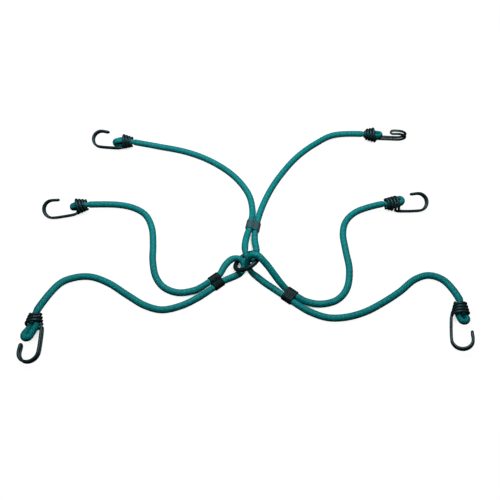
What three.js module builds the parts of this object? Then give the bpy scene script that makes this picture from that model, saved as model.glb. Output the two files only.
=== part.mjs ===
// Spider bungee lying on a flat surface: three elastic cords doubled through one ring, each pair of legs
// held by a crimped band, and a twin-wire hook on each of the six ends. Millimetres, +Z up, surface at z = 0.

import * as THREE from 'three';

// Driving sizes
const cordDiameter = 8;
const cordSides = 10;
const wireRadius = 1.6;
const wireSides = 8;

// Ring: round bar, tilted up towards a heading by the cords that pass through it
const ringBarRadius = 2.75;
const ringMiddleRadius = 15.9;
const ringCentre = new THREE.Vector3(0.5, -0.7, 13);
const ringTilt = 37;
const ringTiltHeading = -40;
const ringBarSides = 8;
const ringSteps = 28;

// Place of the middle of the layout, which puts the origin under the middle of the whole
const layoutAt = new THREE.Vector3(4, -45, 0);

// Hook, measured along the coil's axis from the middle of its last turn
const coilWideEnd = 2.5;
const coilNarrowEnd = -16.2;
const coilWideRadius = 9.8;
const coilNarrowRadius = 5.5;
const coilPitch = 3.9;
const coilStepsPerTurn = 12;
const shankOffset = 10.3;
const shankStart = 6.5;
const shankEnd = 30.2;
const bendRadius = 11.35;
const tipLength = 7;
const tipLean = 0.6;
const shankHalfGap = 1.85;
const tipHalfGap = 2.3;
const bendSteps = 8;
const tipSteps = 4;
const tipTowards = shankOffset - 2 * bendRadius + tipLean;

// Crimp: band around two legs lying side by side, squeezed a little
const crimpLength = 13.6;
const crimpInnerRadius = 4.33;
const crimpWall = 1;
const crimpGroundGap = 0.27;
const legRadius = 3.55;
const legHalfGap = 4.25;
const crimpWaist = 0.35;
const crimpCurveSteps = 6;

// Cord drawn a little thinner where it bends round the ring, within this reach of the ring's centre
const loopRadius = 3.6;
const loopReach = 16;

// Rise of the cord at the last point before a hook
const hookLift = 1.2;

// Longest step of the sweep in an arm, in a loop round the ring, and in the folded end
const armStep = 10;
const loopStep = 4;
const foldStep = 6;

const cordRadius = cordDiameter / 2;
const radians = THREE.MathUtils.degToRad;
const lerp = THREE.MathUtils.lerp;
const skyward = new THREE.Vector3(0, 0, 1);

// A polygon of the same area as the round cord reaches a little past its radius.
const sideAngle = (2 * Math.PI) / cordSides;
const cornerShare = Math.sqrt(sideAngle / Math.sin(sideAngle));
const lieHeight = cordRadius * cornerShare * Math.cos(sideAngle / 2);
const crimpOuterRadius = crimpInnerRadius + crimpWall;

// Hooks: middle of the coil's last turn, heading and rise of the axis, turn of the shank about the axis (0 is
// to the right of the heading, 90 above it). The folded cord stands out of the coil: how far, its breadth as a
// share of the usual one, the turn of its plane about the axis, and its lean away from the shank.
const hooks = {
  top_left: {
    at: [-175.8, 197.1, 11], heading: 173.2, rise: -1.5, turn: 205.5,
    foldOut: 13.5, foldBreadth: 1.12, foldTurn: 97, foldLean: -18,
  },
  top_right: {
    at: [181.6, 209.4, 11.2], heading: -9.5, rise: 6, turn: -113,
    foldOut: 10.5, foldBreadth: 0.8, foldTurn: 5, foldLean: 0,
  },
  mid_left: {
    at: [-221.6, 82.6, 11.7], heading: 186.5, rise: -5.5, turn: 212,
    foldOut: 7.5, foldBreadth: 0.75, foldTurn: 95, foldLean: 0,
  },
  low_left: {
    at: [-241.2, -85, 10.8], heading: 272.3, rise: -4, turn: 173.5,
    foldOut: 19.5, foldBreadth: 1.22, foldTurn: -14, foldLean: 29.5,
  },
  mid_right: {
    at: [194.8, 88.5, 10.2], heading: 5.1, rise: -4, turn: -27.5,
    foldOut: 12.5, foldBreadth: 1.1, foldTurn: 0, foldLean: 31,
  },
  low_right: {
    at: [246.7, -70.3, 9.6], heading: 261, rise: -3, turn: -18,
    foldOut: 13, foldBreadth: 1.1, foldTurn: 0, foldLean: 28,
  },
};

// Crimps: centre in plan and the heading away from the ring; the upper leg lies on the given side, rolled up.
const crimps = {
  top: { at: [8.2, 54.7], heading: 78.7, upperSide: 1, roll: 22 },
  left: { at: [-36.1, -25.6], heading: 218.7, upperSide: -1, roll: 24 },
  right: { at: [51.1, -43.8], heading: -37.5, upperSide: 1, roll: 4 },
};

// Cords: the arm that leads to the leg over the ring, the loop through the ring, and the arm of the leg under
// it. Arms lie on the surface, listed from the crimp outwards; loops run from the upper leg to the lower one.
const cords = {
  top: {
    upperHook: 'top_left',
    upperArm: [[7.5, 79], [4, 103.5], [-6, 124], [-24, 146], [-54.5, 169], [-89, 184.5], [-125, 192.5]],
    loop: [
      [0.6, 39.5, 9.8], [-1.5, 28, 11.4], [-2, 18.5, 13], [-1.5, 12.5, 13.2], [-0.2, 8.4, 11.8],
      [1.8, 6.2, 9.2], [4.2, 6, 6.4], [7.8, 7.4, 4.5], [11.4, 12, 4.2], [12.2, 20.9, 4.2], [10.3, 35, 4.4],
    ],
    lowerHook: 'top_right',
    lowerArm: [[19, 83.5], [31.5, 115], [48.5, 145], [70.5, 174.5], [97.5, 199], [123.5, 214]],
  },
  left: {
    upperHook: 'mid_left',
    upperArm: [
      [-61, -35.5], [-80.5, -39], [-98, -32.5], [-109.5, -18], [-115.5, 4.5], [-117.5, 29.5], [-121.5, 54.5],
      [-131.5, 74.5], [-147.5, 85.5], [-168, 90],
    ],
    loop: [
      [-25.4, -3.8, 9.6], [-18.7, 3.1, 10.4], [-13.4, 5, 10.8], [-8.8, 4.4, 10.4], [-5.4, 1.8, 9],
      [-3.6, -1.4, 7], [-3.6, -4.8, 5.1], [-5, -9, 4.2], [-8.6, -13.2, 4.2], [-13.4, -16.2, 4.2],
      [-19.2, -19.1, 4.3],
    ],
    lowerHook: 'low_left',
    lowerArm: [
      [-56.7, -45.3], [-76, -56], [-98.5, -61.5], [-119, -56], [-141, -42.5], [-166, -26], [-188.5, -17.5],
      [-207.5, -18.5], [-223.5, -27],
    ],
  },
  right: {
    upperHook: 'mid_right',
    upperArm: [
      [70, -50.5], [86.5, -54], [106.5, -49], [119.5, -34.5], [125.5, -8.5], [123.5, 21], [122.5, 46],
      [128, 64.5], [143, 79],
    ],
    loop: [
      [39.8, -29, 12], [32.6, -21, 17.2], [25.3, -13, 22.8], [19.4, -7.7, 27.2], [14, -3.2, 29.6],
      [8.4, -0.9, 28.8], [3.7, -1.4, 24.8], [1.4, -3, 18.8], [1.3, -5.5, 13], [3.3, -8.4, 8.4],
      [6.4, -11.8, 5], [12.9, -17.6, 4.2], [22.8, -26.4, 4.2], [32.9, -34.1, 4.2],
    ],
    lowerHook: 'low_right',
    lowerArm: [
      [74, -64], [94.5, -71.5], [115.5, -71], [139, -64], [162, -51.5], [183, -37.5], [203.5, -21],
      [221.5, -15.5], [237.5, -23],
    ],
  },
};

// Folded end inside the coil: distance along the axis, sideways from it, and half sizes of the squeezed cord
// in the plane of the fold and across it. The first rows are the hidden tail, the last ones the way in.
const foldHalfWidth = 3.25;
const foldInPlane = 3.05;
const foldAcross = 4;
const coilMouth = -1;
const tailRows = [
  { along: -7.5, aside: -2.6, inPlane: 2.45, across: 3.8 },
  { along: -4, aside: -3.05, inPlane: 2.85, across: 4.3 },
  { along: -1, aside: -3.2, inPlane: 3, across: 4.4 },
];
const entryRows = [
  { along: -1, aside: 3.2, inPlane: 3, across: 4.4 },
  { along: -4, aside: 3.05, inPlane: 2.85, across: 4.3 },
  { along: -7.5, aside: 2.55, inPlane: 2.45, across: 3.8 },
  { along: -11.5, aside: 0.9, inPlane: 3.3, across: 3.6 },
  { along: -16.5, aside: 0, inPlane: 3.4, across: 3.4, grip: true },
];
const foldArcSteps = 6;

// Share of the way from a coil to the next point of the arm in which the cord swells back to its full size
const swellShare = 0.12;

// The two strands of a hook's wire: side of the shank, angle at which the strand leaves the coil, how far
// behind the first strand it is wound, and the points where it turns from the coil into the shank.
const strands = [
  { side: -1, leave: -40, lag: 0, jog: [[1.8, 8.9, -3.4], [3.4, 9.8, -2.1]] },
  { side: 1, leave: -15, lag: coilPitch, jog: [[-1.4, 9.2, 0.6], [1, 9.7, 1.7], [3.5, 10.1, 1.85]] },
];

const cordMaterial = new THREE.MeshStandardMaterial({ color: 0x0b7f7c, roughness: 0.75, metalness: 0 });
const wireMaterial = new THREE.MeshStandardMaterial({ color: 0x14181a, roughness: 0.35, metalness: 0.2 });
const bandMaterial = new THREE.MeshStandardMaterial({ color: 0x2b2f31, roughness: 0.55, metalness: 0.6 });

// Axes of a hook: along the coil, to its right, and above it.
function hookAxes({ heading, rise }) {
  const yaw = radians(heading);
  const pitch = radians(rise);
  const level = Math.cos(pitch);
  const axis = new THREE.Vector3(level * Math.cos(yaw), level * Math.sin(yaw), Math.sin(pitch));
  const right = new THREE.Vector3(Math.sin(yaw), -Math.cos(yaw), 0);
  const above = new THREE.Vector3().crossVectors(right, axis);
  return { axis, right, above };
}

function turned(right, above, degrees) {
  const angle = radians(degrees);
  return right.clone().multiplyScalar(Math.cos(angle)).addScaledVector(above, Math.sin(angle));
}

// Closed tube through stations, each with its centre, its two cross directions and half sizes along them.
function tube(stations, sides) {
  const positions = [];
  const faces = [];
  for (const { at, right, up, wide, tall } of stations) {
    for (let i = 0; i < sides; i += 1) {
      const angle = (2 * Math.PI * i) / sides;
      const corner = at.clone().addScaledVector(right, wide * Math.cos(angle));
      positions.push(...corner.addScaledVector(up, tall * Math.sin(angle)));
    }
  }
  const last = stations.length - 1;
  const startCentre = stations.length * sides;
  positions.push(...stations[0].at, ...stations[last].at);
  for (let i = 0; i < sides; i += 1) {
    const next = (i + 1) % sides;
    for (let k = 0; k < last; k += 1) {
      const low = k * sides;
      const high = low + sides;
      faces.push(low + i, low + next, high + next, low + i, high + next, high + i);
    }
    faces.push(startCentre, next, i);
    faces.push(startCentre + 1, last * sides + i, last * sides + next);
  }
  const geometry = new THREE.BufferGeometry();
  geometry.setAttribute('position', new THREE.Float32BufferAttribute(positions, 3));
  geometry.setIndex(faces);
  geometry.computeVertexNormals();
  return geometry;
}

function across(vector, tangent) {
  return vector.clone().addScaledVector(tangent, -vector.dot(tangent)).normalize();
}

// Cross directions that turn as little as possible along the tube, then twist to meet each station's wish.
function giveDirections(stations, firstUp) {
  let up = firstUp;
  let lastTwist = 0;
  const wishes = [];
  stations.forEach((station, k) => {
    up = across(up, station.tangent);
    station.up = up;
    if (station.wish) {
      const wish = across(station.wish, station.tangent);
      const sine = new THREE.Vector3().crossVectors(up, wish).dot(station.tangent);
      const twist = Math.atan2(sine, up.dot(wish));
      lastTwist = twist + 2 * Math.PI * Math.round((lastTwist - twist) / (2 * Math.PI));
      wishes.push({ k, twist: lastTwist });
    }
  });
  stations.forEach((station, k) => {
    const after = wishes.findIndex((wish) => wish.k >= k);
    if (wishes.length > 0) {
      const next = wishes[after < 0 ? wishes.length - 1 : after];
      const before = wishes[after < 1 ? 0 : after - 1];
      const span = next.k - before.k;
      const share = span === 0 ? 0 : THREE.MathUtils.clamp((k - before.k) / span, 0, 1);
      station.up = station.up.clone().applyAxisAngle(station.tangent, lerp(before.twist, next.twist, share));
    }
    station.right = new THREE.Vector3().crossVectors(station.up, station.tangent);
  });
}

// Share of the change in thickness between two rows; a cord let go by a coil's grip swells back at once.
function swollenShare(row, next, share) {
  if (row.grip) {
    return Math.min(1, share / swellShare);
  }
  return next.grip ? Math.max(0, 1 - (1 - share) / swellShare) : share;
}

// Stations along a smooth curve through rows of points, at most a row's own step apart and nowhere below a
// height.
function stationsThrough(rows, lowest = -Infinity) {
  const curve = new THREE.CatmullRomCurve3(rows.map((row) => row.at), false, 'centripetal');
  const stations = [];
  rows.forEach((row, k) => {
    const next = rows[Math.min(k + 1, rows.length - 1)];
    const count = Math.max(1, Math.round(row.at.distanceTo(next.at) / Math.min(row.step, next.step)));
    for (let j = 0; j < (next === row ? 1 : count); j += 1) {
      const share = j / count;
      const t = (k + share) / (rows.length - 1);
      const wish = row.up && (share === 0 || next.up) ? row.up.clone().lerp(next.up ?? row.up, share) : null;
      const swell = swollenShare(row, next, share);
      const wide = lerp(row.wide, next.wide, swell);
      const tall = lerp(row.tall, next.tall, swell);
      const at = curve.getPoint(t);
      const tangent = curve.getTangent(t);
      if (at.z < lowest) {
        at.setZ(lowest);
        tangent.setZ(0).normalize();
      }
      stations.push({ at, tangent, wide, tall, wish });
    }
  });
  return stations;
}

function cordRow(at, step, radius, up) {
  const size = radius * cornerShare;
  return { at, step, wide: size, tall: size, up };
}

// The folded end in one hook, from the hidden tail out round the fold and back in through the coil.
function foldedEnd(hook) {
  const { axis, right, above } = hookAxes(hook);
  const sideways = turned(right, above, hook.foldTurn);
  const up = new THREE.Vector3().crossVectors(sideways, axis);
  const away = turned(right, above, hook.turn + 180);
  const leanAxis = new THREE.Vector3().crossVectors(axis, away);
  const mouth = new THREE.Vector3(...hook.at).addScaledVector(axis, coilMouth);
  const halfWidth = foldHalfWidth * hook.foldBreadth;
  const inPlane = foldInPlane * hook.foldBreadth;
  const centre = hook.foldOut - inPlane - halfWidth;
  const arcRows = [];
  for (let k = 0; k <= foldArcSteps; k += 1) {
    const angle = Math.PI * (k / foldArcSteps - 0.5);
    const along = centre + halfWidth * Math.cos(angle);
    arcRows.push({ along, aside: halfWidth * Math.sin(angle), inPlane, across: foldAcross });
  }
  return [...tailRows, ...arcRows, ...entryRows].map((row) => {
    const lean = row.along > coilMouth ? radians(hook.foldLean) : 0;
    const offset = axis.clone().multiplyScalar(row.along - coilMouth).addScaledVector(sideways, row.aside);
    const at = mouth.clone().add(offset.applyAxisAngle(leanAxis, lean));
    const rowUp = up.clone().applyAxisAngle(leanAxis, lean);
    const wide = row.inPlane * cornerShare;
    const tall = row.across * cornerShare;
    return { at, step: foldStep, wide, tall, up: rowUp, grip: row.grip };
  });
}

function crimpAxes({ at, heading, upperSide, roll }) {
  const flat = hookAxes({ heading, rise: 0 });
  const outward = flat.right.clone().multiplyScalar(-upperSide);
  const aside = turned(outward, skyward, roll);
  const height = crimpGroundGap + crimpOuterRadius + legHalfGap * Math.sin(radians(roll));
  const centre = new THREE.Vector3(at[0], at[1], height);
  return { centre, axis: flat.axis, aside };
}

// Three rows of one leg through its crimp, from the ring's side outwards; side is 1 for the upper leg.
function crimpRows(crimp, side) {
  const { centre, axis, aside } = crimpAxes(crimp);
  return [-0.5, 0, 0.5].map((share) => {
    const at = centre.clone().addScaledVector(axis, share * crimpLength);
    return cordRow(at.addScaledVector(aside, side * legHalfGap), loopStep, legRadius);
  });
}

function cordRoute(cord, crimp) {
  const armRows = (points) => points.map(([x, y], k) => {
    const lift = k === points.length - 1 ? hookLift : 0;
    return cordRow(new THREE.Vector3(x, y, lieHeight + lift), armStep, cordRadius, skyward);
  });
  const loopRows = cord.loop.map((point) => {
    const at = new THREE.Vector3(...point);
    return cordRow(at, loopStep, at.distanceTo(ringCentre) < loopReach ? loopRadius : cordRadius);
  });
  const upperHalf = [...foldedEnd(hooks[cord.upperHook]), ...armRows(cord.upperArm).reverse()];
  const lowerHalf = [...foldedEnd(hooks[cord.lowerHook]), ...armRows(cord.lowerArm).reverse()];
  return [
    ...upperHalf, ...crimpRows(crimp, 1).reverse(), ...loopRows,
    ...crimpRows(crimp, -1), ...lowerHalf.reverse(),
  ];
}

function cordMesh(name, cord) {
  const rows = cordRoute(cord, crimps[name]);
  const stations = stationsThrough(rows, lieHeight);
  giveDirections(stations, rows[0].up);
  return new THREE.Mesh(tube(stations, cordSides), cordMaterial);
}

// One strand of a hook's wire from the coil's narrow end to the tip, as points along the axis, towards the
// shank and sideways.
function strandPoints({ side, leave, lag, jog }) {
  const lead = 2 * coilPitch;
  const degreesLater = leave - strands[0].leave;
  const coilEnd = coilWideEnd - wireRadius - lag + (lead * degreesLater) / 360;
  const turns = (coilEnd - coilNarrowEnd - wireRadius) / lead;
  const steps = Math.round(turns * coilStepsPerTurn);
  const points = [];
  for (let k = steps; k >= 0; k -= 1) {
    const back = (turns * k) / steps;
    const along = coilEnd - lead * back;
    const angle = radians(leave) - 2 * Math.PI * back;
    const inward = (coilWideEnd - along) / (coilWideEnd - coilNarrowEnd);
    const radius = lerp(coilWideRadius, coilNarrowRadius, inward);
    points.push([along, radius * Math.cos(angle), radius * Math.sin(angle)]);
  }
  points.push(...jog, [shankStart, shankOffset, side * shankHalfGap]);
  for (let k = 0; k <= bendSteps; k += 1) {
    const angle = (Math.PI * k) / bendSteps;
    const halfGap = lerp(shankHalfGap, tipHalfGap, k / bendSteps);
    const towards = shankOffset - bendRadius + bendRadius * Math.cos(angle);
    points.push([shankEnd + bendRadius * Math.sin(angle), towards, side * halfGap]);
  }
  points.push([shankEnd - tipLength, tipTowards, side * tipHalfGap]);
  return points;
}

function hookMesh(hook) {
  const { axis, right, above } = hookAxes(hook);
  const towards = turned(right, above, hook.turn);
  const sideways = new THREE.Vector3().crossVectors(axis, towards);
  const tipArc = [];
  for (let k = 1; k < tipSteps; k += 1) {
    const angle = (Math.PI * k) / tipSteps;
    const along = shankEnd - tipLength - tipHalfGap * Math.sin(angle);
    tipArc.push([along, tipTowards, -tipHalfGap * Math.cos(angle)]);
  }
  const points = [...strandPoints(strands[0]), ...tipArc, ...strandPoints(strands[1]).reverse()];
  const rows = points.map(([along, out, aside]) => {
    const at = new THREE.Vector3(...hook.at).addScaledVector(axis, along);
    at.addScaledVector(towards, out).addScaledVector(sideways, aside);
    return { at, step: Infinity, wide: wireRadius, tall: wireRadius };
  });
  const stations = stationsThrough(rows);
  giveDirections(stations, axis);
  return new THREE.Mesh(tube(stations, wireSides), wireMaterial);
}

// Outline of two round lobes side by side, drawn in by the waist between them.
function crimpOutline(path, radius) {
  const waist = radius - crimpWaist;
  path.moveTo(0, -waist);
  path.quadraticCurveTo(legHalfGap / 2, -radius, legHalfGap, -radius);
  path.absarc(legHalfGap, 0, radius, -Math.PI / 2, Math.PI / 2);
  path.quadraticCurveTo(legHalfGap / 2, radius, 0, waist);
  path.quadraticCurveTo(-legHalfGap / 2, radius, -legHalfGap, radius);
  path.absarc(-legHalfGap, 0, radius, Math.PI / 2, (3 * Math.PI) / 2);
  path.quadraticCurveTo(-legHalfGap / 2, -radius, 0, -waist);
  return path;
}

function crimpMesh(crimp) {
  const { centre, axis, aside } = crimpAxes(crimp);
  const band = crimpOutline(new THREE.Shape(), crimpOuterRadius);
  band.holes.push(crimpOutline(new THREE.Path(), crimpInnerRadius));
  const settings = { depth: crimpLength, bevelEnabled: false, curveSegments: crimpCurveSteps };
  const mesh = new THREE.Mesh(new THREE.ExtrudeGeometry(band, settings), bandMaterial);
  const upward = new THREE.Vector3().crossVectors(axis, aside);
  mesh.quaternion.setFromRotationMatrix(new THREE.Matrix4().makeBasis(aside, upward, axis));
  mesh.position.copy(centre).addScaledVector(axis, -crimpLength / 2);
  return mesh;
}

function ringMesh() {
  const geometry = new THREE.TorusGeometry(ringMiddleRadius, ringBarRadius, ringBarSides, ringSteps);
  const mesh = new THREE.Mesh(geometry, wireMaterial);
  const heading = radians(ringTiltHeading);
  const hingeAxis = new THREE.Vector3(-Math.sin(heading), Math.cos(heading), 0);
  mesh.quaternion.setFromAxisAngle(hingeAxis, -radians(ringTilt));
  mesh.position.copy(ringCentre);
  return mesh;
}

const spiderBungee = new THREE.Group();
spiderBungee.position.copy(layoutAt);

function add(name, mesh) {
  mesh.name = name;
  spiderBungee.add(mesh);
}

add('ring', ringMesh());
for (const [name, cord] of Object.entries(cords)) {
  add(`cord_${name}`, cordMesh(name, cord));
  add(`crimp_${name}`, crimpMesh(crimps[name]));
}
for (const [name, hook] of Object.entries(hooks)) {
  add(`hook_${name}`, hookMesh(hook));
}

export default spiderBungee;
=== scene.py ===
"""Looks of a spider bungee lying on a white floor: three braided elastic cords doubled through a coated
ring, a pressed band round each pair of legs, and a hook of doubled coated wire on each folded end."""

import math
from collections import namedtuple

import bpy
import numpy as np
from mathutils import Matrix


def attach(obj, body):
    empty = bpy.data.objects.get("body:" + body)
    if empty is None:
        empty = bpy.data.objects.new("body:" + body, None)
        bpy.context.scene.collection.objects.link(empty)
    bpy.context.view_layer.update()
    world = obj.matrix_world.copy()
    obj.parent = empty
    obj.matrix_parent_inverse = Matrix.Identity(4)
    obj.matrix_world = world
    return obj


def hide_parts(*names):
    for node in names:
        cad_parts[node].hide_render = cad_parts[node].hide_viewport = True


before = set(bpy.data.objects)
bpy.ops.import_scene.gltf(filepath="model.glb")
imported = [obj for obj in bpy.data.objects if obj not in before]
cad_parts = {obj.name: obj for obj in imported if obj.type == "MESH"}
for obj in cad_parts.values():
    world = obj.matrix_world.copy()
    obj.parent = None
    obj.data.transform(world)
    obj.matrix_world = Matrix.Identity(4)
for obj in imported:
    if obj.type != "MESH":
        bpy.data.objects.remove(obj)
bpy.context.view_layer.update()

# Sizes are in millimetres. Places are measured from the hub, beside the ring's centre, and become metres in
# the shared frame, where the hub has the place given here.
METRES = 0.001
HUB_AT = np.array([4.0, -45.0, 0.0])
SKYWARD = np.array([0.0, 0.0, 1.0])

# Camera: place in metres, degrees from straight down, and lens and sensor in millimetres
EYE = (0.008254, -0.386480, 0.583983)
CAMERA_TILT = 32
LENS = 39.456
SENSOR = 36

# Cord: the drawn cover stands a little over the cord's own thickness, and the floor flattens it underneath
CORD_DIAMETER = 8.0
COVER_RISE = 0.2
CORD_RADIUS = CORD_DIAMETER / 2 + COVER_RISE
LIE_HEIGHT = 4.02
CORD_STEP = 0.52
CORD_SIDES = 56
CORD_END_ROUNDING = 1.4

# Lift of the last point of an arm before its hook
HOOK_LIFT = 1.2

# Radius of a loop within this reach of the ring's centre, where it bears on the bar
LOOP_RADIUS = 3.6
LOOP_REACH = 16

# Braided cover: strands wound each way, length of one turn of a strand, rise of a strand over its edges and
# of a float over the strands it crosses, and yarns side by side in a strand
STRANDS = 8
STRAND_LEAD = 22.0
STRAND_CROWN = 0.17
FLOAT_RISE = 0.08
YARNS = 4

# Strands by which the floats wound the second way are set back, to go under where the first ones go over
SECOND_WAY_SHIFT = 3

# Hook wire
WIRE_RADIUS = 1.66
WIRE_SIDES = 16
WIRE_STEP = 0.7
WIRE_END_ROUNDING = 0.6

# Hook: places along the axis of its coil, and distances from that axis
COIL_WIDE_END, COIL_NARROW_END = 2.5, -16.2
COIL_WIDE_RADIUS, COIL_NARROW_RADIUS = 9.8, 5.5
COIL_PITCH = 3.9
COIL_STEPS_PER_TURN = 12
SHANK_OFFSET = 10.3
SHANK_START, SHANK_END = 6.5, 30.2
BEND_RADIUS = 11.35
TIP_LENGTH = 7.0
TIP_LEAN = 0.6
SHANK_HALF_GAP, TIP_HALF_GAP = 1.85, 2.3
BEND_STEPS = 8
TIP_STEPS = 4
TIP_END = SHANK_END - TIP_LENGTH
TIP_TOWARDS = SHANK_OFFSET - 2 * BEND_RADIUS + TIP_LEAN

# Strands of a hook's wire: side of the shank, angle at which it leaves the coil, how far behind the first
# strand it is wound, and the points where it turns from the coil into the shank
Strand = namedtuple("Strand", "side leave lag jog")
WIRE_STRANDS = [
    Strand(-1, -40, 0, [(1.8, 8.9, -3.4), (3.4, 9.8, -2.1)]),
    Strand(1, -15, COIL_PITCH, [(-1.4, 9.2, 0.6), (1, 9.7, 1.7), (3.5, 10.1, 1.85)]),
]

# Ring
RING_BAR_RADIUS = 2.75
RING_MIDDLE_RADIUS = 15.9
RING_CENTRE = (0.5, -0.7, 13)
RING_TILT = 37
RING_TILT_HEADING = -40
RING_BAR_SIDES = 28
RING_STEPS = 144

# Pressed band and the legs in it
BAND_LENGTH = 13.6
BAND_GROUND_GAP = 0.27
BAND_INNER_RADIUS = 4
BAND_OUTER_RADIUS = 5.33
BAND_WAIST = 0.35
BAND_EDGE_RADIUS = 0.45
BAND_RIDGES = 5
BAND_GROOVE = 0.5
BAND_SIDES = 120
BAND_OUTLINE_STEPS = 40
BAND_RIDGE_STEPS = 12
BAND_CORNER_STEPS = 5
BAND_INNER_STEPS = 6
LEG_RADIUS = 3.9
LEG_HALF_GAP = 4.25

# Hooks: place on the coil's axis near its wide end, heading and rise of the axis towards the bend, and turn
# of the shank round it. Then the cord's fold: its reach along the axis, its breadth as a share of the usual
# one, the turn of its plane, its lean away from the shank, and its slit as a share of the usual one.
Hook = namedtuple("Hook", "at heading rise turn fold_out fold_breadth fold_turn fold_lean fold_slit")
HOOKS = {
    "top_left": Hook((-175.8, 197.1, 11), 173.2, -1.5, 205.5, 13.5, 1.12, 97, -18, 1),
    "top_right": Hook((181.6, 209.4, 11.2), -9.5, 6, -113, 10.5, 0.8, 5, 0, 1),
    "mid_left": Hook((-221.6, 82.6, 11.7), 186.5, -5.5, 212, 7.5, 0.75, 95, 0, 1),
    "low_left": Hook((-241.2, -85, 10.8), 272.3, -4, 173.5, 19.5, 1.22, -14, 29.5, 0.1),
    "mid_right": Hook((194.8, 88.5, 10.2), 5.1, -4, -27.5, 12.5, 1.1, 0, 31, 1.2),
    "low_right": Hook((246.7, -70.3, 9.6), 261, -3, -18, 13, 1.1, 0, 28, 1),
}

# Bands: place, heading away from the ring, side of the upper arm's leg, 1 for left, and that leg's roll up
Band = namedtuple("Band", "at heading upper_side roll")
BANDS = {
    "top": Band((8.2, 54.7), 78.7, 1, 22),
    "left": Band((-36.1, -25.6), 218.7, -1, 24),
    "right": Band((51.1, -43.8), -37.5, 1, 4),
}

# Cords: each arm lies on the floor from the band to its hook, and the loop goes through the ring from the
# upper arm's leg to the lower arm's
Cord = namedtuple("Cord", "upper_hook upper_arm loop lower_hook lower_arm")
CORDS = {
    "top": Cord(
        "top_left",
        [(7.5, 79), (4, 103.5), (-6, 124), (-24, 146), (-54.5, 169), (-89, 184.5), (-125, 192.5)],
        [
            (0.6, 39.5, 9.8), (-1.5, 28, 11.4), (-2, 18.5, 13), (-1.5, 12.5, 13.2), (-0.2, 8.4, 11.8),
            (1.8, 6.2, 9.2), (4.2, 6, 6.4), (7.8, 7.4, 4.5), (11.4, 12, 4.2), (12.2, 20.9, 4.2),
            (10.3, 35, 4.4),
        ],
        "top_right",
        [(19, 83.5), (31.5, 115), (48.5, 145), (70.5, 174.5), (97.5, 199), (123.5, 214)],
    ),
    "left": Cord(
        "mid_left",
        [
            (-61, -35.5), (-80.5, -39), (-98, -32.5), (-109.5, -18), (-115.5, 4.5), (-117.5, 29.5),
            (-121.5, 54.5), (-131.5, 74.5), (-147.5, 85.5), (-168, 90),
        ],
        [
            (-25.4, -3.8, 9.6), (-18.7, 3.1, 10.4), (-13.4, 5, 10.8), (-8.8, 4.4, 10.4), (-5.4, 1.8, 9),
            (-3.6, -1.4, 7), (-3.6, -4.8, 5.1), (-5, -9, 4.2), (-8.6, -13.2, 4.2), (-13.4, -16.2, 4.2),
            (-19.2, -19.1, 4.3),
        ],
        "low_left",
        [
            (-56.7, -45.3), (-76, -56), (-98.5, -61.5), (-119, -56), (-141, -42.5), (-166, -26),
            (-188.5, -17.5), (-207.5, -18.5), (-223.5, -27),
        ],
    ),
    "right": Cord(
        "mid_right",
        [
            (70, -50.5), (86.5, -54), (106.5, -49), (119.5, -34.5), (125.5, -8.5), (123.5, 21), (122.5, 46),
            (128, 64.5), (143, 79),
        ],
        [
            (39.8, -29, 12), (32.6, -21, 17.2), (25.3, -13, 22.8), (19.4, -7.7, 27.2), (14, -3.2, 29.6),
            (8.4, -0.9, 28.8), (3.7, -1.4, 24.8), (1.4, -3, 18.8), (1.3, -5.5, 13), (3.3, -8.4, 8.4),
            (6.4, -11.8, 5), (12.9, -17.6, 4.2), (22.8, -26.4, 4.2), (32.9, -34.1, 4.2),
        ],
        "low_right",
        [
            (74, -64), (94.5, -71.5), (115.5, -71), (139, -64), (162, -51.5), (183, -37.5), (203.5, -21),
            (221.5, -15.5), (237.5, -23),
        ],
    ),
}

# Fold of a cord's end outside its coil: half its breadth and half the slit in it, and half its size across
FOLD_HALF_BREADTH = 6.4
FOLD_HALF_SLIT = 0.95
FOLD_ACROSS = 4.0
FOLD_ARC_STEPS = 6

# Squeezed rows of the cord's end inside its coil, the tucked tail and the stretch that comes in: along the
# axis, aside from it, and half sizes in the fold's plane and across it
COIL_MOUTH = -1.0
TAIL_ROWS = [(-7.5, -2.6, 2.45, 3.8), (-4, -3.05, 2.85, 4.3), (COIL_MOUTH, -3.45, 2.75, 4.4)]
ENTRY_ROWS = [
    (COIL_MOUTH, 3.45, 2.75, 4.4), (-4, 3.05, 2.85, 4.3), (-7.5, 2.55, 2.45, 3.8), (-11.5, 0.9, 3.3, 3.6),
    (-16.5, 0, 3.4, 3.4),
]
FOLD_ROWS = len(TAIL_ROWS) + FOLD_ARC_STEPS + 1 + len(ENTRY_ROWS)

# Share of the way from a coil to the next point of the arm in which the cord swells back to its full size
SWELL = 0.12

# Points worked out on each stretch of a smooth line before they are spaced evenly
CURVE_STEPS = 24

# Share of its rounding that an end is drawn in by at most, which leaves a small flat to cap
END_INSET_LIMIT = 0.985

# Row of a cord: point of its route, half sizes across and upwards, and the way that counts as up, if any
Row = namedtuple("Row", "at wide tall up")

# Floor and backdrop, in metres
FLOOR_RADIUS = 9
FLOOR_DROP = 0.0001
FLOOR_SIDES = 96
BACKDROP_RADIUS = 8.8
BACKDROP_SEGMENTS, BACKDROP_RINGS = 64, 32

# Painted shade on the floor, from how closed in it is: reach in metres, how open the floor is where the shade
# is full and where it is gone, tones from closed in to open, and glow where it is open
FLOOR_SHADE_REACH = 0.03
FLOOR_SHUT, FLOOR_OPEN = 0.08, 0.26
FLOOR_TONES = [(0.0, (0.01, 0.012, 0.012)), (1.0, (0.09, 0.09, 0.09))]
FLOOR_GLOW = 0.96

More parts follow.
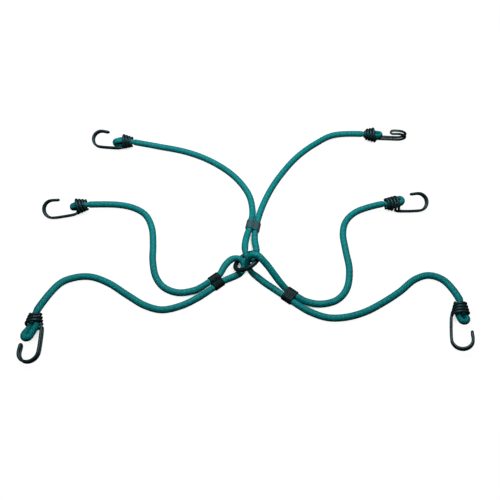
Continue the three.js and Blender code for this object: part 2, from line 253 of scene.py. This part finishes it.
# Overhead light, in metres and watts, and strength of the sky from its lower to its upper part
LIGHT_AT = np.array([-0.02, 0.17, 0.5])
LIGHT_AIM = np.array([0, 0.17, 0])
LIGHT_SIZE = 0.5
LIGHT_POWER = 5.4
SKY_HEIGHTS = (0.1, 0.8)
SKY_STRENGTHS = (0.015, 0.12)
SKY_COLOUR = (0.95, 0.97, 1.0, 1)

BLACK, WHITE = (0, 0, 0, 1), (1, 1, 1, 1)


# Directions and lines

def unit(vectors):
    return vectors / np.linalg.norm(vectors, axis=-1, keepdims=True)


def in_shared_frame(points):
    return (np.asarray(points, float) + HUB_AT) * METRES


def axes_of(heading, rise=0):
    """Along a heading and rise, to the right of it, and above it."""
    yaw, pitch = math.radians(heading), math.radians(rise)
    axis = np.array([math.cos(yaw) * math.cos(pitch), math.sin(yaw) * math.cos(pitch), math.sin(pitch)])
    right = np.array([math.sin(yaw), -math.cos(yaw), 0.0])
    return axis, right, np.cross(right, axis)


def turned(right, above, degrees):
    return right * math.cos(math.radians(degrees)) + above * math.sin(math.radians(degrees))


def rotated(vector, axis, degrees):
    cosine, sine = math.cos(math.radians(degrees)), math.sin(math.radians(degrees))
    return vector * cosine + np.cross(axis, vector) * sine + axis * np.dot(axis, vector) * (1 - cosine)


def lengths_along(points):
    """Length of a line of points up to each of them."""
    return np.concatenate([[0], np.cumsum(np.linalg.norm(np.diff(points, axis=0), axis=1))])


def spaced(points, lengths, stops):
    """Points of a line at the given lengths along it."""
    return np.stack([np.interp(stops, lengths, column) for column in points.T], axis=1)


def smooth_line(points, step):
    """Points about a step apart on a centripetal curve through the given ones. Returns them with the length
    up to each and its place in the given list."""
    points = np.asarray(points, float)
    padded = np.vstack([2 * points[0] - points[1], points, 2 * points[-1] - points[-2]])
    shares = np.linspace(0, 1, CURVE_STEPS, endpoint=False)[:, None]
    dense, places = [], []
    for k in range(len(points) - 1):
        p0, p1, p2, p3 = padded[k:k + 4]
        d0, d1, d2 = (math.sqrt(np.linalg.norm(b - a)) for a, b in ((p0, p1), (p1, p2), (p2, p3)))
        t1 = ((p1 - p0) / d0 - (p2 - p0) / (d0 + d1) + (p2 - p1) / d1) * d1
        t2 = ((p2 - p1) / d1 - (p3 - p1) / (d1 + d2) + (p3 - p2) / d2) * d1
        square, cube = 3 * (p2 - p1) - 2 * t1 - t2, 2 * (p1 - p2) + t1 + t2
        dense.append(p1 + t1 * shares + square * shares**2 + cube * shares**3)
        places.append(k + shares[:, 0])
    dense = np.vstack([*dense, points[-1:]])
    places = np.concatenate([*places, [len(points) - 1]])
    lengths = lengths_along(dense)
    stops = np.linspace(0, lengths[-1], round(lengths[-1] / step) + 1)
    return spaced(dense, lengths, stops), stops, np.interp(stops, lengths, places)


def cross_directions(line, first_up, wishes=None):
    """Directions right and up across a line that turn as little as they can, then twist to meet wishes."""
    tangents = unit(np.gradient(line, axis=0))
    ups, up = np.empty_like(line), first_up
    for k, tangent in enumerate(tangents):
        up = unit(up - tangent * np.dot(up, tangent))
        ups[k] = up
    if wishes is not None:
        wished = np.flatnonzero(~np.isnan(wishes[:, 0]))
        along = tangents[wished]
        aims = unit(wishes[wished] - along * np.sum(wishes[wished] * along, axis=1, keepdims=True))
        sines = np.sum(np.cross(ups[wished], aims) * along, axis=1)
        twists = np.unwrap(np.arctan2(sines, np.sum(ups[wished] * aims, axis=1)))
        twist = np.interp(np.arange(len(line)), wished, twists)[:, None]
        ups = ups * np.cos(twist) + np.cross(tangents, ups) * np.sin(twist)
    return np.cross(ups, tangents), ups


def end_shares(stops, rounding):
    """Share of the full thickness along a line whose two ends are rounded off."""
    inward = np.minimum(stops, stops[-1] - stops)
    inset = np.clip(1 - inward / rounding, 0, END_INSET_LIMIT)
    return np.sqrt(1 - inset**2)


def angles_round(sides):
    return 2 * math.pi * np.arange(sides) / sides


def make_surface(name, grid, closed=False, uv=None):
    """Object of a grid of points, rows by columns. Columns join up, and rows join up if closed or else end in
    caps. The uv values, one a row, are the cover map's places along."""
    rows, columns = grid.shape[:2]
    vertices = grid.reshape(-1, 3)
    low = np.arange(rows if closed else rows - 1)[:, None] * columns
    high = (low + columns) % (rows * columns)
    here = np.arange(columns)[None, :]
    following = (here + 1) % columns
    quads = np.stack([low + here, low + following, high + following, high + here], axis=-1).reshape(-1, 4)
    faces = quads.tolist()
    if not closed:
        centre = len(vertices)
        last = (rows - 1) * columns
        vertices = np.vstack([vertices, grid[0].mean(axis=0), grid[-1].mean(axis=0)])
        for i in range(columns):
            following_one = (i + 1) % columns
            faces.append([centre, following_one, i])
            faces.append([centre + 1, last + i, last + following_one])
    mesh = bpy.data.meshes.new(name)
    mesh.from_pydata(vertices.tolist(), [], faces)
    if uv is not None:
        around = np.stack([np.arange(columns), np.arange(columns) + 1], axis=1) / columns
        across = np.broadcast_to(around[None, :, [0, 1, 1, 0]], (rows - 1, columns, 4))
        row_ends = np.stack([uv[:-1], uv[:-1], uv[1:], uv[1:]], axis=1)
        along = np.broadcast_to(row_ends[:, None, :], across.shape)
        corners = np.stack([across, along], axis=-1).reshape(-1, 2)
        caps = np.tile([[0.0, uv[0]]] * 3 + [[0.0, uv[-1]]] * 3, (columns, 1))
        layer = mesh.uv_layers.new(name="cover")
        layer.data.foreach_set("uv", np.vstack([corners, caps]).astype(np.float32).ravel())
    mesh.shade_smooth()
    mesh.update()
    made = bpy.data.objects.new(name, mesh)
    bpy.context.scene.collection.objects.link(made)
    return made


# Cords

def folded_end(hook):
    """Rows of the cord in one hook, from the hidden tail out round the fold and back in through the coil."""
    axis, right, above = axes_of(hook.heading, hook.rise)
    sideways = turned(right, above, hook.fold_turn)
    up = np.cross(sideways, axis)
    lean_axis = np.cross(axis, turned(right, above, hook.turn + 180))
    mouth = np.array(hook.at) + axis * COIL_MOUTH
    half_breadth = FOLD_HALF_BREADTH * hook.fold_breadth
    bend_radius = (half_breadth + FOLD_HALF_SLIT * hook.fold_slit) / 2
    in_plane = half_breadth - bend_radius
    centre = hook.fold_out - in_plane - bend_radius
    arc = []
    for angle in np.linspace(-math.pi / 2, math.pi / 2, FOLD_ARC_STEPS + 1):
        along = centre + bend_radius * math.cos(angle)
        arc.append((along, bend_radius * math.sin(angle), in_plane, FOLD_ACROSS))
    rows = []
    for along, aside, wide, tall in [*TAIL_ROWS, *arc, *ENTRY_ROWS]:
        lean = hook.fold_lean if along > COIL_MOUTH else 0
        offset = rotated(axis * (along - COIL_MOUTH) + sideways * aside, lean_axis, lean)
        rows.append(Row(mouth + offset, wide, tall, rotated(up, lean_axis, lean)))
    return rows


def arm_rows(points):
    lifts = [0] * (len(points) - 1) + [HOOK_LIFT]
    return [
        Row(np.array([x, y, LIE_HEIGHT + lift]), CORD_RADIUS, CORD_RADIUS, SKYWARD)
        for (x, y), lift in zip(points, lifts)
    ]


def band_axes(band):
    """Centre of a band, the way along its legs, and the way from it to the upper arm's leg."""
    axis, right, _ = axes_of(band.heading)
    aside = turned(-band.upper_side * right, SKYWARD, band.roll)
    height = BAND_GROUND_GAP + BAND_OUTER_RADIUS + LEG_HALF_GAP * math.sin(math.radians(band.roll))
    return np.array([*band.at, height]), axis, aside


def leg_rows(band, side):
    """Rows of one leg through its band, from the ring's side outwards."""
    centre, axis, aside = band_axes(band)
    middle = centre + aside * side * LEG_HALF_GAP
    places = [middle + axis * share * BAND_LENGTH for share in (-0.5, 0, 0.5)]
    return [Row(place, LEG_RADIUS, LEG_RADIUS, None) for place in places]


def cord_rows(name):
    """Rows of a whole cord, from the tail in its upper hook through the ring to the one in its lower hook."""
    cord, band = CORDS[name], BANDS[name]
    upper = folded_end(HOOKS[cord.upper_hook]) + arm_rows(cord.upper_arm)[::-1]
    lower = folded_end(HOOKS[cord.lower_hook]) + arm_rows(cord.lower_arm)[::-1]
    loop = []
    for point in cord.loop:
        radius = LOOP_RADIUS if math.dist(point, RING_CENTRE) < LOOP_REACH else CORD_RADIUS
        loop.append(Row(np.array(point, float), radius, radius, None))
    return upper + leg_rows(band, 1)[::-1] + loop + leg_rows(band, -1) + lower[::-1]


def half_sizes(places, row_sizes):
    """Half size at places along a cord, from its rows' and from the full size where it has left its coils."""
    count = len(row_sizes)
    known = np.array([*range(count), FOLD_ROWS - 1 + SWELL, count - FOLD_ROWS - SWELL])
    order = np.argsort(known)
    return np.interp(places, known[order], np.array([*row_sizes, CORD_RADIUS, CORD_RADIUS])[order])


def strand_rise(across, crossing):
    """Height of a strand by the share of the way across it and its place among the strands it crosses."""
    return STRAND_CROWN * (1 - (2 * across - 1)**2) + FLOAT_RISE * np.cos(crossing * math.pi / 2)


def braid_relief(around, along):
    """Height of the braided cover over its mean: each strand passes over two strands and under two."""
    first, second = STRANDS * (around + along), STRANDS * (around - along)
    i, j = np.floor(first), np.floor(second)
    first_rise = strand_rise(first - i, second - i)
    second_rise = strand_rise(second - j, first - j - SECOND_WAY_SHIFT)
    height = np.maximum(first_rise, second_rise)
    return height - height.mean()


def make_cord(name):
    """A cord's object, with its middle line and length in metres."""
    rows = cord_rows(name)
    line, stops, places = smooth_line([row.at for row in rows], CORD_STEP)
    line[:, 2] = np.maximum(line[:, 2], LIE_HEIGHT)
    wide = half_sizes(places, [row.wide for row in rows])
    tall = half_sizes(places, [row.tall for row in rows])
    row_ups = np.array([(np.nan,) * 3 if row.up is None else row.up for row in rows])
    before = np.minimum(places.astype(int), len(rows) - 2)
    share = (places - before)[:, None]
    wishes = row_ups[before] * (1 - share) + row_ups[before + 1] * share
    right, up = cross_directions(line, rows[0].up, wishes)

    angles = angles_round(CORD_SIDES)
    turns_along = stops / STRAND_LEAD
    relief = braid_relief(np.arange(CORD_SIDES)[None, :] / CORD_SIDES, turns_along[:, None])
    ends = end_shares(stops, CORD_END_ROUNDING)[:, None]
    out_right = (wide[:, None] + relief) * ends * np.cos(angles)
    out_up = (tall[:, None] + relief) * ends * np.sin(angles)
    grid = line[:, None, :] + right[:, None, :] * out_right[..., None] + up[:, None, :] * out_up[..., None]
    grid[..., 2] = np.maximum(grid[..., 2], 0.0)
    cord = make_surface(f"braided_cord_{name}", in_shared_frame(grid), uv=turns_along)
    return cord, in_shared_frame(line), stops[-1] * METRES


# Hooks

def strand_points(strand):
    """One strand of a hook's wire from the coil's narrow end to the tip. Each point is a place along the
    axis, towards the shank and sideways."""
    lead = 2 * COIL_PITCH
    later = strand.leave - WIRE_STRANDS[0].leave
    coil_end = COIL_WIDE_END - WIRE_RADIUS - strand.lag + lead * later / 360
    turns = (coil_end - COIL_NARROW_END - WIRE_RADIUS) / lead
    back = np.linspace(turns, 0, round(turns * COIL_STEPS_PER_TURN) + 1)
    along = coil_end - lead * back
    angle = math.radians(strand.leave) - 2 * math.pi * back
    ends, radii = [COIL_NARROW_END, COIL_WIDE_END], [COIL_NARROW_RADIUS, COIL_WIDE_RADIUS]
    radius = np.interp(along, ends, radii)
    points = list(zip(along, radius * np.cos(angle), radius * np.sin(angle)))
    points += [*strand.jog, (SHANK_START, SHANK_OFFSET, strand.side * SHANK_HALF_GAP)]
    for share in np.linspace(0, 1, BEND_STEPS + 1):
        half_gap = SHANK_HALF_GAP + (TIP_HALF_GAP - SHANK_HALF_GAP) * share
        out = SHANK_END + BEND_RADIUS * math.sin(math.pi * share)
        towards = SHANK_OFFSET - BEND_RADIUS + BEND_RADIUS * math.cos(math.pi * share)
        points.append((out, towards, strand.side * half_gap))
    points.append((TIP_END, TIP_TOWARDS, strand.side * TIP_HALF_GAP))
    return points


def make_hook(name):
    hook = HOOKS[name]
    axis, right, above = axes_of(hook.heading, hook.rise)
    towards = turned(right, above, hook.turn)
    sideways = np.cross(axis, towards)
    tip = []
    for angle in np.linspace(0, math.pi, TIP_STEPS + 1)[1:-1]:
        tip.append((TIP_END - TIP_HALF_GAP * math.sin(angle), TIP_TOWARDS, -TIP_HALF_GAP * math.cos(angle)))
    points = strand_points(WIRE_STRANDS[0]) + tip + strand_points(WIRE_STRANDS[1])[::-1]
    at = np.array(hook.at) + np.array(points) @ np.stack([axis, towards, sideways])
    line, stops, _ = smooth_line(at, WIRE_STEP)
    side, up = cross_directions(line, axis)
    angles = angles_round(WIRE_SIDES)[None, :, None]
    radius = (WIRE_RADIUS * end_shares(stops, WIRE_END_ROUNDING))[:, None, None]
    around = side[:, None, :] * np.cos(angles) + up[:, None, :] * np.sin(angles)
    return make_surface(f"wire_hook_{name}", in_shared_frame(line[:, None, :] + radius * around))


# Ring

def make_ring():
    heading = math.radians(RING_TILT_HEADING)
    hinge = np.array([-math.sin(heading), math.cos(heading), 0])
    level = np.cross(hinge, SKYWARD)
    rising = rotated(level, hinge, -RING_TILT)
    normal = np.cross(rising, hinge)
    turn = angles_round(RING_STEPS)[:, None, None]
    outward = rising * np.cos(turn) + hinge * np.sin(turn)
    section = angles_round(RING_BAR_SIDES)[None, :, None]
    bar = outward * np.cos(section) + normal * np.sin(section)
    grid = np.array(RING_CENTRE) + RING_MIDDLE_RADIUS * outward + RING_BAR_RADIUS * bar
    return make_surface("coated_ring", in_shared_frame(grid[::-1]), closed=True)


# Bands

def lobed_outline(radius, count):
    """Outline of two round lobes side by side, drawn in at the waist, and the directions out of it."""
    shares = np.linspace(0, 1, BAND_OUTLINE_STEPS, endpoint=False)[:, None]
    waist = np.array([0, BAND_WAIST - radius])
    handle = np.array([LEG_HALF_GAP / 2, -radius])
    lobe_start = np.array([LEG_HALF_GAP, -radius])
    flank = waist * (1 - shares)**2 + handle * 2 * shares * (1 - shares) + lobe_start * shares**2
    angle = (shares - 0.5) * math.pi
    lobe = np.hstack([LEG_HALF_GAP + radius * np.cos(angle), radius * np.sin(angle)])
    returning = (flank * [1, -1])[::-1]
    half = np.vstack([flank, lobe, lobe_start * [1, -1], returning[:-1]])
    whole = np.vstack([half, waist * [1, -1], -half[1:], waist])
    lengths = lengths_along(whole)
    outline = spaced(whole, lengths, np.linspace(0, lengths[-1], count, endpoint=False))
    ahead = unit(np.roll(outline, -1, axis=0) - np.roll(outline, 1, axis=0))
    return outline, np.stack([ahead[:, 1], -ahead[:, 0]], axis=1)


def band_profile():
    """Profile of the pressed strip once round: along the legs, and outwards from the inner face."""
    wall = BAND_OUTER_RADIUS - BAND_INNER_RADIUS
    half = BAND_LENGTH / 2
    straight = half - BAND_EDGE_RADIUS
    outer = np.linspace(-straight, straight, BAND_RIDGE_STEPS * BAND_RIDGES + 1)
    ridge_turn = math.pi * BAND_RIDGES * (outer + straight) / (2 * straight)
    groove = BAND_GROOVE * (1 - np.abs(np.sin(ridge_turn)))
    corner = np.linspace(0, math.pi / 2, BAND_CORNER_STEPS + 1)[1:]
    corner_along = straight + BAND_EDGE_RADIUS * np.sin(corner)
    top_corner = np.stack([corner_along, BAND_EDGE_RADIUS * (np.cos(corner) - 1)], axis=1)
    top = np.vstack([np.stack([outer, -groove], axis=1), top_corner + [0, -groove[-1]]]) + [0, wall]
    inner_along = np.linspace(half, -half, BAND_INNER_STEPS + 1)
    inner = np.stack([inner_along, np.zeros_like(inner_along)], axis=1)
    closing = (top_corner * [-1, 1])[::-1] + [0, wall - groove[0]]
    return np.vstack([top, inner, closing])


def make_band(name):
    centre, axis, aside = band_axes(BANDS[name])
    upward = np.cross(axis, aside)
    outline, outward = lobed_outline(BAND_INNER_RADIUS, BAND_SIDES)
    profile = band_profile()
    flat = outline[None, :, :] + outward[None, :, :] * profile[:, 1][:, None, None]
    along = profile[:, 0][:, None, None] * axis
    grid = centre + along + flat[..., :1] * aside + flat[..., 1:] * upward
    return make_surface(f"pressed_band_{name}", in_shared_frame(grid), closed=True)


# Finishes

class Material:
    """A material's node tree with its shader, and short ways to add nodes to it."""

    def __init__(self, name):
        self.material = bpy.data.materials.new(name)
        self.material.use_nodes = True
        self.nodes = self.material.node_tree.nodes
        self.links = self.material.node_tree.links
        self.shader = self.nodes["Principled BSDF"]

    def add(self, kind, inputs=None, **settings):
        made = self.nodes.new(kind)
        for key, value in settings.items():
            setattr(made, key, value)
        self.feed(made, inputs or {})
        return made

    def feed(self, node, inputs):
        for key, value in inputs.items():
            if isinstance(value, bpy.types.NodeSocket):
                self.links.new(value, node.inputs[key])
            else:
                node.inputs[key].default_value = value

    def math(self, operation, *values):
        return self.add("ShaderNodeMath", dict(enumerate(values)), operation=operation).outputs[0]

    def between(self, share, low, high):
        """Number from low to high by a share from 0 to 1."""
        inputs = {"Value": share, "To Min": low, "To Max": high}
        return self.add("ShaderNodeMapRange", inputs).outputs["Result"]

    def share(self, value, low, high, **settings):
        """Share from 0 to 1 by a number from low to high."""
        inputs = {"Value": value, "From Min": low, "From Max": high}
        return self.add("ShaderNodeMapRange", inputs, **settings).outputs["Result"]

    def colours(self, share, stops):
        """Colour by a share from 0 to 1, through stops of place and colour."""
        ramp = self.add("ShaderNodeValToRGB", {"Fac": share})
        elements = ramp.color_ramp.elements
        while len(elements) < len(stops):
            elements.new(0.5)
        for element, (place, colour) in zip(elements, stops):
            element.position = place
            element.color = (*colour, 1)
        return ramp.outputs["Color"]

    def noise(self, scale, detail):
        place = self.add("ShaderNodeTexCoord").outputs["Object"]
        inputs = {"Scale": scale, "Detail": detail, "Vector": place}
        return self.add("ShaderNodeTexNoise", inputs).outputs["Fac"]

    def bump(self, height, distance, strength):
        made = self.add("ShaderNodeBump", {"Height": height, "Distance": distance, "Strength": strength})
        self.feed(self.shader, {"Normal": made.outputs["Normal"]})


def braid_material():
    """Teal yarns, with painted shade that darkens a strand where it lies lower, and painted sheen that
    lightens the strands wound the first way where they lie over. The strands are those of braid_relief.
    """
    made = Material("teal_braid")
    cover_map = made.add("ShaderNodeUVMap", uv_map="cover").outputs["UV"]
    cover = made.add("ShaderNodeSeparateXYZ", {0: cover_map})
    around, along = cover.outputs["X"], cover.outputs["Y"]
    first = made.math("MULTIPLY", made.math("ADD", around, along), STRANDS)
    second = made.math("MULTIPLY", made.math("SUBTRACT", around, along), STRANDS)
    i, j = made.math("FLOOR", first), made.math("FLOOR", second)
    first_across, second_across = made.math("SUBTRACT", first, i), made.math("SUBTRACT", second, j)

    def rise(across, crossing):
        centred = made.math("MULTIPLY_ADD", across, 2, -1)
        edge = made.math("MULTIPLY", centred, centred)
        crown = made.math("MULTIPLY_ADD", edge, -STRAND_CROWN, STRAND_CROWN)
        wave = made.math("COSINE", made.math("MULTIPLY", crossing, math.pi / 2))
        return made.math("MULTIPLY_ADD", wave, FLOAT_RISE, crown)

    first_rise = rise(first_across, made.math("SUBTRACT", second, i))
    crossing_back = made.math("SUBTRACT", made.math("SUBTRACT", first, j), SECOND_WAY_SHIFT)
    second_rise = rise(second_across, crossing_back)
    over = made.math("GREATER_THAN", first_rise, second_rise)
    height = made.math("MAXIMUM", first_rise, second_rise)

    def visible(first_value, second_value):
        mixed = made.add("ShaderNodeMix", {"Factor": over, "A": second_value, "B": first_value})
        return mixed.outputs["Result"]

    # The first way's strands are numbered off the second's, so that each way draws its own tints
    first_way_offset = 40.5
    number = visible(made.math("ADD", i, first_way_offset), j)
    strand_tint = made.add("ShaderNodeTexWhiteNoise", {"W": number}, noise_dimensions="1D").outputs["Value"]
    yarn_turn = made.math("MULTIPLY", visible(first_across, second_across), math.pi * YARNS)
    yarn = made.math("ABSOLUTE", made.math("SINE", yarn_turn))
    fibre = made.noise(scale=2600, detail=3)
    fade = made.noise(scale=22, detail=2)

    # Painted shade: a strand is darker where it lies lower between the others. Painted sheen: a strand wound
    # the first way is lighter where it lies over.
    painted_hollow_shade = made.share(height, 0.0, STRAND_CROWN + FLOAT_RISE)
    shade = made.math("MULTIPLY", painted_hollow_shade, 0.62)
    for value, weight in [(yarn, 0.16), (strand_tint, 0.12), (over, 0.08), (fibre, 0.14), (fade, 0.12)]:
        shade = made.math("MULTIPLY_ADD", value, weight, shade)
    colour = made.colours(
        shade,
        [(0.2, (0.0003, 0.020, 0.021)), (0.6, (0.0005, 0.09, 0.0945)), (1.0, (0.0012, 0.225, 0.232))],
    )
    made.feed(made.shader, {
        "Base Color": colour,
        "Roughness": made.between(fibre, 0.42, 0.6),
        "Specular IOR Level": 0.1,
        "Sheen Weight": 0.02,
        "Sheen Roughness": 0.4,
        "Sheen Tint": (0.1, 0.8, 0.8, 1),
    })
    yarn_height = made.math("MULTIPLY_ADD", yarn, 0.7, made.math("MULTIPLY", fibre, 0.5))
    made.bump(yarn_height, distance=0.00008, strength=0.8)
    return made.material


def coated_material(name, dark, light, roughness, specular):
    """Smooth dark coating, for the wire and the ring."""
    made = Material(name)
    patch, grain = made.noise(scale=140, detail=3), made.noise(scale=1800, detail=2)
    made.feed(made.shader, {
        "Base Color": made.colours(patch, [(0.3, dark), (0.75, light)]),
        "Roughness": made.between(grain, roughness - 0.07, roughness + 0.09),
        "Specular IOR Level": specular,
        "Specular Tint": (0.55, 0.95, 1, 1),
        "Coat Weight": 0.05,
        "Coat Roughness": 0.22,
    })
    made.bump(grain, distance=0.00004, strength=0.15)
    return made.material


def band_material(name, dark, light):
    """Pressed metal, rubbed lighter in patches."""
    made = Material(name)
    rubbed, grain = made.noise(scale=420, detail=4), made.noise(scale=2400, detail=2)
    made.feed(made.shader, {
        "Base Color": made.colours(rubbed, [(0.35, dark), (0.8, light)]),
        "Roughness": made.between(rubbed, 0.3, 0.5),
        "Specular IOR Level": 0.17,
        "Specular Tint": (0.6, 0.95, 1, 1),
    })
    made.bump(grain, distance=0.00005, strength=0.4)
    return made.material


def floor_material():
    """White floor with painted shade: darker in colour and glow where the strap closes it in."""
    made = Material("pale_floor")
    nearby = {"Distance": FLOOR_SHADE_REACH}
    # Painted shade: the floor's tone and glow fall off where nearby pieces close it in
    openness = made.add("ShaderNodeAmbientOcclusion", nearby, samples=8).outputs["AO"]
    lit = made.share(openness, FLOOR_SHUT, FLOOR_OPEN, interpolation_type="SMOOTHSTEP")
    tone = made.math("MULTIPLY_ADD", made.noise(scale=3, detail=2), 0.1, made.math("MULTIPLY", lit, 0.9))
    made.feed(made.shader, {
        "Base Color": made.colours(tone, FLOOR_TONES),
        "Roughness": 0.9,
        "Specular IOR Level": 0.0,
        "Emission Color": WHITE,
        "Emission Strength": made.math("MULTIPLY", lit, FLOOR_GLOW),
    })
    return made.material


def backdrop_material():
    made = Material("white_backdrop")
    made.feed(made.shader, {
        "Base Color": BLACK,
        "Specular IOR Level": 0.0,
        "Emission Color": WHITE,
        "Emission Strength": 1.0,
    })
    return made.material


def dress(piece, material, node):
    piece.data.materials.append(material)
    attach(piece, "root")
    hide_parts(node)


# Camera, stage and light

def make_camera():
    camera = bpy.data.objects.new("camera", bpy.data.cameras.new("camera"))
    camera.location = EYE
    camera.rotation_euler = (math.radians(CAMERA_TILT), 0, 0)
    camera.data.sensor_width = SENSOR
    camera.data.lens = LENS
    bpy.context.scene.collection.objects.link(camera)
    bpy.context.scene.camera = camera


def make_stage():
    """Floor and backdrop, which the camera sees but which neither light the pieces nor mirror in them."""
    bpy.ops.mesh.primitive_circle_add(
        vertices=FLOOR_SIDES, radius=FLOOR_RADIUS, fill_type="NGON", location=(0, 0, -FLOOR_DROP),
    )
    floor = bpy.context.object
    floor.name = "floor"
    floor.data.materials.append(floor_material())
    bpy.ops.mesh.primitive_uv_sphere_add(
        segments=BACKDROP_SEGMENTS, ring_count=BACKDROP_RINGS, radius=BACKDROP_RADIUS,
    )
    backdrop = bpy.context.object
    backdrop.name = "backdrop"
    backdrop.data.materials.append(backdrop_material())
    backdrop.visible_shadow = False
    for piece in (floor, backdrop):
        piece.visible_diffuse = False
        piece.visible_glossy = False


def make_light():
    light = bpy.data.lights.new("overhead", "AREA")
    light.shape = "SQUARE"
    light.size = LIGHT_SIZE
    light.energy = LIGHT_POWER
    made = bpy.data.objects.new("overhead", light)
    made.location = LIGHT_AT
    direction = LIGHT_AIM - LIGHT_AT
    pitch = math.atan2(math.hypot(direction[0], direction[1]), -direction[2])
    made.rotation_euler = (pitch, 0, math.atan2(-direction[0], direction[1]))
    made.visible_camera = False
    bpy.context.scene.collection.objects.link(made)


def make_sky():
    """Soft light from the sky, little from below."""
    world = bpy.data.worlds.new("studio")
    world.use_nodes = True
    nodes, links = world.node_tree.nodes, world.node_tree.links
    split = nodes.new("ShaderNodeSeparateXYZ")
    links.new(nodes.new("ShaderNodeTexCoord").outputs["Generated"], split.inputs[0])
    strength = nodes.new("ShaderNodeMapRange")
    links.new(split.outputs["Z"], strength.inputs["Value"])
    limits = zip(("From Min", "From Max", "To Min", "To Max"), SKY_HEIGHTS + SKY_STRENGTHS)
    for key, value in limits:
        strength.inputs[key].default_value = value
    links.new(strength.outputs["Result"], nodes["Background"].inputs["Strength"])
    nodes["Background"].inputs["Color"].default_value = SKY_COLOUR
    bpy.context.scene.world = world


make_camera()
cords = {name: make_cord(name) for name in CORDS}
hooks = {name: make_hook(name) for name in HOOKS}
bands = {name: make_band(name) for name in BANDS}
ring = make_ring()

cord_finish = braid_material()
wire_finish = coated_material(
    "black_coated_wire", (0.005, 0.0155, 0.0185), (0.012, 0.026, 0.03), roughness=0.36, specular=0.26,
)
ring_finish = coated_material(
    "black_coated_ring", (0.002, 0.0105, 0.0125), (0.006, 0.017, 0.02), roughness=0.3, specular=0.17,
)
band_finish = band_material("dark_band", (0.0008, 0.0055, 0.006), (0.007, 0.013, 0.0145))

# The top band gets a paler copy of the band finish: a painted reflection of the light from behind
band_finish_painted_reflection = band_material("band_painted_reflection", (0.02, 0.058, 0.063), (0.045, 0.09, 0.097))

dress(ring, ring_finish, "ring")
for name, hook in hooks.items():
    dress(hook, wire_finish, f"hook_{name}")
for name, band in bands.items():
    # The top band takes the paler copy, with its painted reflection
    dress(band, band_finish_painted_reflection if name == "top" else band_finish, f"crimp_{name}")
for name, (cord, path, length) in cords.items():
    dress(cord, cord_finish, f"cord_{name}")

make_stage()
make_light()
make_sky()
bpy.context.scene.view_settings.view_transform = "Standard"
